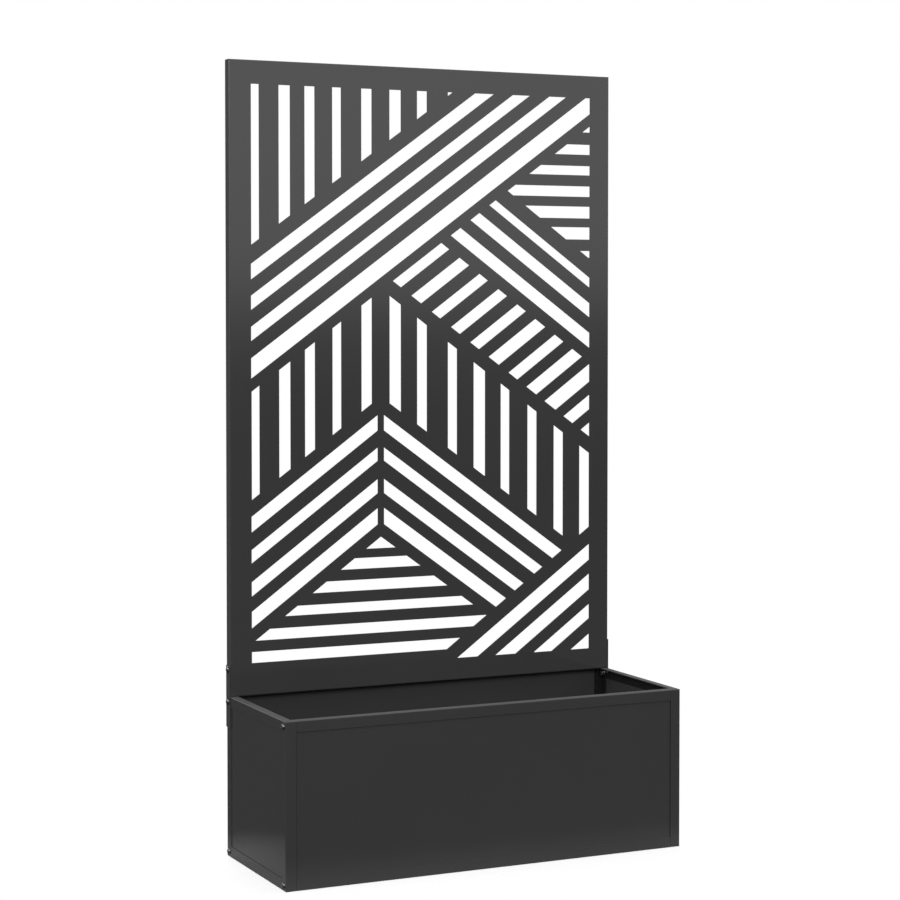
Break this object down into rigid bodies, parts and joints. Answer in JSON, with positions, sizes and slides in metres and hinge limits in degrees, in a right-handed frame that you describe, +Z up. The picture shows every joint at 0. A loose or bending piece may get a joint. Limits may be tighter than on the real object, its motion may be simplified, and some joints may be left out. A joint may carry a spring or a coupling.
{
  "type": "planter with trellis",
  "caption": "Rectangular sheet-steel floor planter box in charcoal powder coat with a tall slotted trellis screen bolted along its back edge.",
  "frame": {"origin": "on the floor under the middle of the box", "axes": "X along the front, Y from the front to the back where the screen stands, Z up"},
  "size_m": [0.8102, 0.3, 1.48],
  "materials": {
    "powder_coat": "fine-textured charcoal powder coat, satin",
    "powder_coat_tray": "fine-textured charcoal powder coat, satin",
    "powder_coat_screen": "fine-textured charcoal powder coat, satin",
    "bolt_black": "black-coated steel, semi-gloss",
    "zinc": "bright zinc plating"
  },
  "bodies": {
    "root": {"front_panel": "powder_coat", "rear_panel": "powder_coat", "left_panel": "powder_coat", "right_panel": "powder_coat", "front_left_post": "powder_coat", "front_right_post": "powder_coat", "rear_left_post": "powder_coat", "rear_right_post": "powder_coat", "front_top_rail": "powder_coat", "rear_top_rail": "powder_coat", "left_top_rail": "powder_coat", "right_top_rail": "powder_coat", "front_bottom_rail": "powder_coat", "rear_bottom_rail": "powder_coat", "left_bottom_rail": "powder_coat", "right_bottom_rail": "powder_coat", "floor_tray": "powder_coat_tray", "trellis_screen": "powder_coat_screen", "left_strap": "powder_coat", "right_strap": "powder_coat", "corner_bolts": "bolt_black", "strap_bolts": "bolt_black", "hex_nuts": "zinc"}
  },
  "joints": []
}
